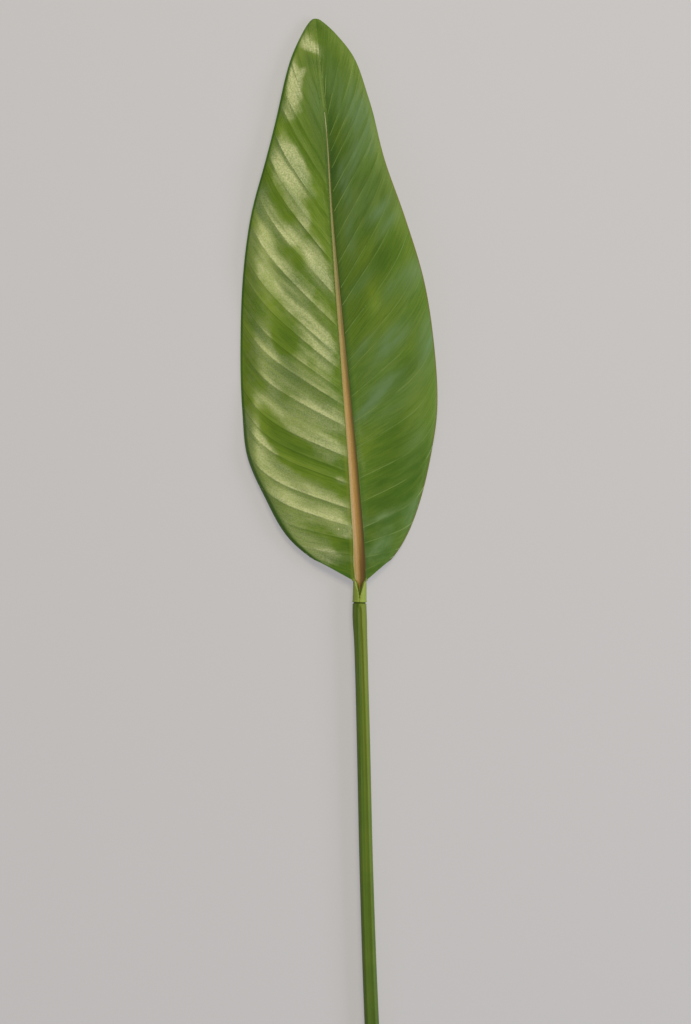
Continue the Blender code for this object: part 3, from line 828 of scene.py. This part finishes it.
# The rib lies on the channel's floor, thick in the middle and thin at its sides, with its underside sunk in
first, last = MIDRIB_HALF_WIDTH[0][0], MIDRIB_HALF_WIDTH[-1][0]
stations = np.linspace(first, last, MIDRIB_STATIONS)
half = through(MIDRIB_HALF_WIDTH, stations)
spread = np.linspace(-1, 1, MIDRIB_COLUMNS + 1)
offset = spread[None, :] * half[:, None]
channel_floor = through(MIDRIB_HEIGHT, stations)[:, None]
channel_floor = channel_floor - channel_dip(np.maximum(stations, 0)[:, None], np.abs(offset))
rounding = 1 - MIDRIB_EDGE_THINNING * spread[None, :] ** 4
thickness = MIDRIB_THICKNESS * rounding * np.minimum(half[:, None] / MIDRIB_FULL_FROM, 1)
x = through(MIDLINE, stations)[:, None] + offset
y = np.repeat(stations[:, None], len(spread), axis=1)
over = np.stack([x, y, channel_floor + thickness], axis=-1)
below = np.stack([x, y, channel_floor - MIDRIB_SUNK], axis=-1)[:, ::-1]
loop = np.concatenate([over, below[:, 1:-1]], axis=1)
around = loop.shape[1]
faces = strip_faces(MIDRIB_STATIONS, around, closed=True)
faces.append(tuple(range(around))[::-1])
faces.append(tuple((MIDRIB_STATIONS - 1) * around + k for k in range(around)))
midrib = new_object("tan_midrib", loop.reshape(-1, 3), faces=faces, materials=(midrib_finish,))
loop_u = np.concatenate([(spread + 1) / 2, (spread[::-1][1:-1] + 1) / 2])
give_uv(midrib, np.tile(loop_u, MIDRIB_STATIONS), np.repeat((stations - first) / (last - first), around))
settle(midrib)
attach(midrib, "root")
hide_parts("midrib")

# The stalk
# The green leaf stalk, round, with a shallow open groove along its upper side. Below the blade it is pinched
# in at a joint, and above that a collar opens in a V-shaped notch round the foot of the midrib.

STALK_RADIUS = ((-400, 5.5), (-300, 5.15), (-200, 4.85), (-110, 4.75), (-60, 4.7), (-38, 4.85), (-27, 5.15),
                (-17, 4.95), (-12, 4.95), (-0.15, 4.75))
STALK_HEIGHT = ((-400, 5.25), (-330, 5.05), (-240, 5.35), (-120, 5.75), (-40, 5.95), (-0.15, 5.6))
OPENING_HALF_WIDTH = ((-400, 2.8), (-150, 2.3), (-60, 1.7), (-30, 1.4), (-19, 1), (-17, 0.35), (-11.4, 0.35),
                      (-9, 0.85), (-6, 1.8), (-3, 2.8), (-0.15, 3.7))
OPENING_DEPTH = ((-400, 0.4), (-150, 0.55), (-60, 0.75), (-30, 0.9), (-19, 0.7), (-17, 0.2), (-13, 0.2),
                 (-11.4, 1), (-9, 2.6), (-6.5, 4.2), (-4.5, 4.3), (-3, 3.9), (-0.15, 2.8))
JOINT_RING = -15.7
JOINT_RING_HALF_WIDTH = 0.6
JOINT_RING_DEPTH = 0.85
COLLAR_LIP = 0.25
COLLAR_LIP_ABOVE_RING = 1.1
COLLAR_LIP_HALF_WIDTH = 0.6
GROOVE_LIP_WIDTH = 0.18

# Where the stalk's cross-sections lie: by the cut end, along stretches as (from, to, apart), and at its top
CUT_END_SECTIONS = (-400, -399.8, -399.3, -398.5)
STRETCHES = ((-396, -24, 3.0), (-24, -17, 0.7), (-17, -14, 0.15), (-14, -0.3, 0.4))
STALK_TOP = -0.15
STALK_SIDES = 64
CUT_ROUNDING = 0.35
CUT_ROUNDING_LENGTH = 0.7

STALK_GREEN = (0.066, 0.134, 0.019, 1)
STALK_GREEN_LIGHTER = (0.09, 0.16, 0.024, 1)
STALK_FIBRE = (0.15, 0.2, 0.025, 1)
# Painted light on the stalk's right side, which faces the key light
LIT_SIDE_GREEN = (0.17, 0.22, 0.03, 1)
# Painted shade on the wall of the stalk's groove
GROOVE_SHADE = (0.042, 0.09, 0.004, 1)
CUT_END_GREEN = (0.05, 0.104, 0.027, 1)
# Painted shade on the stalk's left side, turned from the key light
SHADED_SIDE_GREY = (0.1, 0.13, 0.045, 1)
COLLAR_GREEN = (0.235, 0.32, 0.065, 1)
# Painted shade deep in the collar's notch
NOTCH_SHADE = (0.05, 0.09, 0.01, 1)
RING_SHADE = (0.035, 0.06, 0.006, 1)
# Painted highlight on the lips of the groove
LIP_HIGHLIGHT_GREEN = (0.31, 0.38, 0.12, 1)

stalk_finish, tree, shader = new_material("stalk skin")
turn = read_value(tree, "turn")
along = read_value(tree, "along")
fibres = speckle(tree, drawn_out(tree, turn, 34.0, along, 0.02), 1.0, 3.0, 0.6)
patches = speckle(tree, object_place(tree), 38.0, 3.0)
collar = fade_between(tree, along, -16.5, -15.0)
# Painted light on the stalk's right side
lit_right_side = product(tree, fade_between(tree, turn, -0.15, 0.1),
                     fade_between(tree, along, -240.0, -30.0, 0.0, 0.65))
# Painted shade on the groove's wall
groove_shade = product(tree, fade_between(tree, turn, -0.62, -0.35), fade_between(tree, turn, -0.2, 0.0, 1.0, 0.0),
                 fade_between(tree, along, -330.0, -60.0, 0.1, 0.7))
# Painted shade on the stalk's left side
shaded_left_side = product(tree, fade_between(tree, turn, -1.3, -0.8, 0.5, 0.0),
                    fade_between(tree, turn, -2.2, -1.7))
# Painted shade in the collar's notch, darker the deeper it lies
shade_in_notch = product(tree, fade_between(tree, read_value(tree, "in_groove"), 0.1, 0.9, 0.0, 0.7), collar)
from_joint = maths(tree, "ABSOLUTE", maths(tree, "SUBTRACT", along, JOINT_RING))
# Painted highlight on the lips of the collar's groove
lip_highlight = product(tree, fade_between(tree, read_value(tree, "lip_highlight"), 0.2, 0.8, 0.0, 0.8), collar)
ground = blend_colours(tree, fade_between(tree, patches, 0.35, 0.68), STALK_GREEN, STALK_GREEN_LIGHTER)
plug(tree, shader.inputs["Base Color"], paint_over(tree, ground, (
    (fade_between(tree, fibres, 0.35, 0.7, 0.0, 0.5), STALK_FIBRE),
    (lit_right_side, LIT_SIDE_GREEN),
    (groove_shade, GROOVE_SHADE),
    (fade_between(tree, along, -380.0, -200.0, 0.4, 0.0), CUT_END_GREEN),
    (shaded_left_side, SHADED_SIDE_GREY),
    (product(tree, collar, 0.95), COLLAR_GREEN),
    (shade_in_notch, NOTCH_SHADE),
    (fade_between(tree, from_joint, 0.25, 0.75, 0.8, 0.0), RING_SHADE),
    (lip_highlight, LIP_HIGHLIGHT_GREEN),
)))
plug(tree, shader.inputs["Roughness"], fade_between(tree, fibres, 0.3, 0.7, 0.4, 0.52))
shader.inputs["Specular IOR Level"].default_value = 0.22
shader.inputs["Specular Tint"].default_value = (1, 0.92, 0.75, 1)
raise_surface(tree, shader, maths(tree, "ADD", fibres, product(tree, patches, 0.2)), 0.35, 0.0002)

stalk, given, result = new_tree(
    "grooved stalk", "GeometryNodeTree",
    (("Path", "Geometry"), ("Sides", "Int"), ("Finish", "Material")),
    (("Stalk", "Geometry"),),
)


def stalk_node(kind, settings=(), **inputs):
    """A node of the stalk's tree, with its settings and the values or links of its inputs."""
    made = stalk.nodes.new(kind)
    for name, value in settings:
        setattr(made, name, value)
    for name, value in inputs.items():
        plug(stalk, made.inputs[name.replace("_", " ")], value)
    return made


def path_value(name):
    made = stalk_node("GeometryNodeInputNamedAttribute", [("data_type", "FLOAT")], Name=name)
    return made.outputs["Attribute"]


def surface_place():
    """The place of each point of the surface, as X, Y and Z."""
    made = stalk_node("ShaderNodeSeparateXYZ")
    stalk.links.new(stalk_node("GeometryNodeInputPosition").outputs["Position"], made.inputs[0])
    return made.outputs


def store(geometry, name, value):
    made = stalk_node("GeometryNodeStoreNamedAttribute", [("data_type", "FLOAT"), ("domain", "POINT")],
                      Geometry=geometry, Name=name, Value=value)
    return made.outputs["Geometry"]


as_curve = stalk_node("GeometryNodeMeshToCurve", Mesh=given["Path"])
upright = stalk_node("GeometryNodeSetCurveNormal", [("mode", "Z_UP")], Curve=as_curve.outputs["Curve"])
ring = stalk_node("GeometryNodeCurvePrimitiveCircle", Resolution=given["Sides"], Radius=1.0)
swept = stalk_node("GeometryNodeCurveToMesh", Curve=upright.outputs["Curve"],
                   Profile_Curve=ring.outputs["Curve"], Scale=path_value("radius"), Fill_Caps=True)

# The groove is pressed down into the round stalk, to a hollow floor below its two lips
aside = maths(stalk, "SUBTRACT", surface_place()["X"], path_value("middle"))
up = maths(stalk, "SUBTRACT", surface_place()["Z"], path_value("centre"))
ratio = maths(stalk, "DIVIDE", aside, path_value("opening"))
bowl = maths(stalk, "SUBTRACT", 1.0, product(stalk, ratio, ratio))
above = maths(stalk, "GREATER_THAN", up, 0.0)
inside = product(stalk, maths(stalk, "GREATER_THAN", bowl, 0.0), above)
groove_floor = maths(stalk, "SUBTRACT", path_value("lip"), product(stalk, bowl, path_value("depth")))
drop = product(stalk, inside, maths(stalk, "SUBTRACT", groove_floor, up))
far = maths(stalk, "ABSOLUTE", maths(stalk, "SUBTRACT", maths(stalk, "ABSOLUTE", ratio), 1.0))
near_lip = product(stalk, maths(stalk, "LESS_THAN", far, GROOVE_LIP_WIDTH), above)
# How far a point lies down in the groove is kept for the painted shade in the collar's notch
held = store(swept.outputs["Mesh"], "in_groove", product(stalk, bowl, inside))
# Points near the lips are kept for the painted highlight on them
held = store(held, "lip_highlight", near_lip)
held = store(held, "turn", maths(stalk, "ARCTAN2", aside, up))
moved = stalk_node("GeometryNodeSetPosition", Geometry=held, Offset=combine(stalk, 0.0, 0.0, drop))

# What would lie below the table is lifted to it, as the solid is pressed flat there
lift = maths(stalk, "MAXIMUM", product(stalk, surface_place()["Z"], -1.0), 0.0)
lifted = stalk_node("GeometryNodeSetPosition", Geometry=moved.outputs["Geometry"],
                    Offset=combine(stalk, 0.0, 0.0, lift))
real = stalk_node("GeometryNodeRealizeInstances", Geometry=lifted.outputs["Geometry"])
painted = stalk_node("GeometryNodeSetMaterial", Geometry=real.outputs["Geometry"], Material=given["Finish"])
stalk.links.new(painted.outputs["Geometry"], result["Stalk"])

stations = np.concatenate([CUT_END_SECTIONS] + [np.arange(*stretch) for stretch in STRETCHES] + [[STALK_TOP]])
radius = through(STALK_RADIUS, stations)
from_ring = np.abs(stations - JOINT_RING)
radius -= JOINT_RING_DEPTH * np.maximum(1 - (from_ring / JOINT_RING_HALF_WIDTH) ** 2, 0)
from_lip = stations - JOINT_RING - COLLAR_LIP_ABOVE_RING
radius += COLLAR_LIP * np.exp(-((from_lip / COLLAR_LIP_HALF_WIDTH) ** 2))
radius -= CUT_ROUNDING * np.maximum(1 - (stations - stations[0]) / CUT_ROUNDING_LENGTH, 0) ** 2
middle = through(MIDLINE, stations)
centre = through(STALK_HEIGHT, stations)
links = [(k, k + 1) for k in range(len(stations) - 1)]
petiole = new_object("leaf_stalk", zip(middle, stations, centre), links)
for name, values in (
    ("radius", radius * MM),
    ("middle", (middle + FOOT.x) * MM),
    ("centre", centre * MM),
    ("opening", through(OPENING_HALF_WIDTH, stations) * MM),
    ("lip", np.sqrt(radius**2 - through(OPENING_HALF_WIDTH, stations) ** 2) * MM),
    ("depth", through(OPENING_DEPTH, stations) * MM),
    ("along", stations),
):
    give_values(petiole, name, values)
run_tree(petiole, stalk, {"Sides": STALK_SIDES, "Finish": stalk_finish})
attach(petiole, "root")
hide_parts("petiole")

# The studio
# A plain pale floor under the leaf, a warm key light above the side of the tip, a weak cool fill from the
# left, four low soft lights round about, and a camera straight above, framed as the photograph is.

PICTURE_HEIGHT = 0.7288
PICTURE_MIDDLE = (0.0047, 0.0491)
CAMERA_DISTANCE = 2.2
LEAF_HEIGHT = 0.008
SENSOR_HEIGHT = 24
FLOOR_REACH = 4
FLOOR_DROP = 0.0002
WORLD_LIGHT = 0.1
WORLD_SEEN = 0.5

paper, tree, shader = new_material("pale floor")
shader.inputs["Base Color"].default_value = (0.21, 0.216, 0.262, 1)
shader.inputs["Emission Color"].default_value = (1, 0.965, 0.965, 1)
shader.inputs["Emission Strength"].default_value = 0.33
shader.inputs["Roughness"].default_value = 0.9
shader.inputs["Specular IOR Level"].default_value = 0.1
mesh = bpy.data.meshes.new("floor")
corners = [(x * FLOOR_REACH, y * FLOOR_REACH, 0) for x, y in ((-1, -1), (1, -1), (1, 1), (-1, 1))]
mesh.from_pydata(corners, [], [(0, 1, 2, 3)])
mesh.materials.append(paper)
floor = put_in_scene("floor", mesh)
floor.location.z = -FLOOR_DROP


def soft_light(name, place, aim, width, height, power, colour):
    """A rectangular lamp that points at a place on the floor."""
    light = bpy.data.lights.new(name, "AREA")
    light.shape = "RECTANGLE"
    light.size = width
    light.size_y = height
    light.energy = power
    light.color = colour
    made = put_in_scene(name, light)
    made.location = place
    made.rotation_euler = (Vector(aim) - Vector(place)).to_track_quat("-Z", "Y").to_euler()


soft_light("key light", (0.3, 1.05, 2.0), (0, 0.15, 0), 1.1, 0.8, 36, (1, 0.88, 0.53))
soft_light("cool fill", (-1.2, 0.3, 1.7), (0, 0.15, 0), 1.0, 1.0, 1.2, (0.75, 0.88, 1))
soft_light("left side", (-2.2, 0.0, 1.1), (0, 0, 0), 1.8, 0.9, 3, (0.97, 0.98, 1))
soft_light("right side", (2.2, 0.0, 1.1), (0, 0, 0), 1.8, 0.9, 33, (0.97, 0.98, 1))
soft_light("head side", (0, 2.4, 1.1), (0, 0, 0), 1.8, 0.9, 5, (1, 0.95, 0.85))
soft_light("foot side", (0, -2.4, 1.1), (0, 0, 0), 1.8, 0.9, 6, (1, 0.93, 0.78))

world = bpy.data.worlds.new("studio")
world.use_nodes = True
backdrop = world.node_tree.nodes["Background"]
backdrop.inputs["Color"].default_value = (1, 1, 1, 1)
seen = world.node_tree.nodes.new("ShaderNodeLightPath").outputs["Is Camera Ray"]
plug(world.node_tree, backdrop.inputs["Strength"],
     fade_between(world.node_tree, seen, 0.0, 1.0, WORLD_LIGHT, WORLD_SEEN))
bpy.context.scene.world = world
bpy.context.scene.view_settings.view_transform = "Standard"

lens = bpy.data.cameras.new("camera")
lens.sensor_fit = "VERTICAL"
lens.sensor_height = SENSOR_HEIGHT
lens.lens = SENSOR_HEIGHT * CAMERA_DISTANCE / PICTURE_HEIGHT
lens.clip_end = 50
camera = put_in_scene("camera", lens)
camera.location = (*PICTURE_MIDDLE, CAMERA_DISTANCE + LEAF_HEIGHT)
bpy.context.scene.camera = camera
